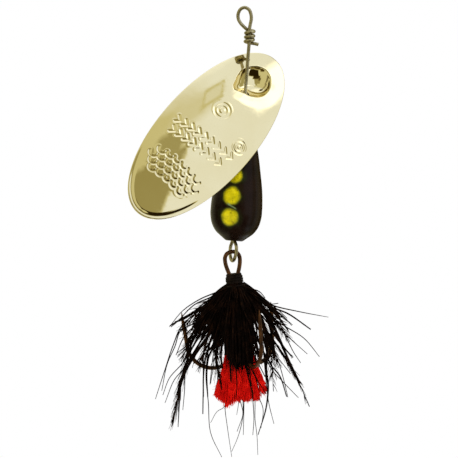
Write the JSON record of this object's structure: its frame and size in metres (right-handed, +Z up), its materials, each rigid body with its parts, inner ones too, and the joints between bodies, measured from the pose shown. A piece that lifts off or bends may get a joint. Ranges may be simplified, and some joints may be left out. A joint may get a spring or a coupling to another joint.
{
  "type": "inline spinner lure",
  "caption": "Inline spinner lure: a mirror-gold blade turns on a wire shaft above a weighted teardrop body, with a feather-dressed treble hook below.",
  "frame": {"origin": "centre of the line-tie eye at the top of the shaft wire", "axes": "+Z up along the shaft wire towards the line, -Y towards the side that the blade's face looks to, +X to that side's right"},
  "size_m": [0.0313, 0.0224, 0.0685],
  "materials": {
    "shaft_steel": "drawn spring steel, slightly olive",
    "bead_brass": "polished",
    "blade_gold": "mirror plated pale gold",
    "body_paint": "gloss black over brass, with yellow-olive spots",
    "hook_bronze": "bronze lacquered hook wire",
    "braze": "brazing metal",
    "black_thread": "waxed tying thread",
    "black_floss": "wound floss",
    "black_hackle": "dyed feather barbs",
    "red_floss": "combed-out yarn"
  },
  "bodies": {
    "shaft": {"shaft_wire": "shaft_steel"},
    "bead": {"bearing_bead": "bead_brass"},
    "blade": {"spinner_blade": "blade_gold"},
    "weight": {"weight_body": "body_paint"},
    "treble": {"treble_double_hook": "hook_bronze", "treble_single_hook": "hook_bronze", "shank_braze": "braze", "head_thread": "black_thread", "shank_floss": "black_floss", "tail_tie_thread": "black_thread", "hackle_front_left": "black_hackle", "hackle_right": "black_hackle", "hackle_back": "black_hackle", "red_tail_tuft": "red_floss"}
  },
  "joints": [
    {"name": "blade_spin", "type": "hinge", "parent": "shaft", "child": "bead", "pos_m": [0.001, 0, -0.0136], "axis": [0, 0, 1], "continuous": true},
    {"name": "blade_tilt", "type": "hinge", "parent": "bead", "child": "blade", "pos_m": [0.001, 0, -0.01185], "axis": [-0.7918, 0, 0.6108], "range_deg": [0, 36]},
    {"name": "body_spin", "type": "hinge", "parent": "shaft", "child": "weight", "pos_m": [0.001, 0, -0.025], "axis": [0, 0, 1], "continuous": true},
    {"name": "hook_swing", "type": "hinge", "parent": "shaft", "child": "treble", "pos_m": [0.001, 0, -0.03817], "axis": [0.3907, -0.9205, 0], "range_deg": [-70.2, 49.8]}
  ]
}
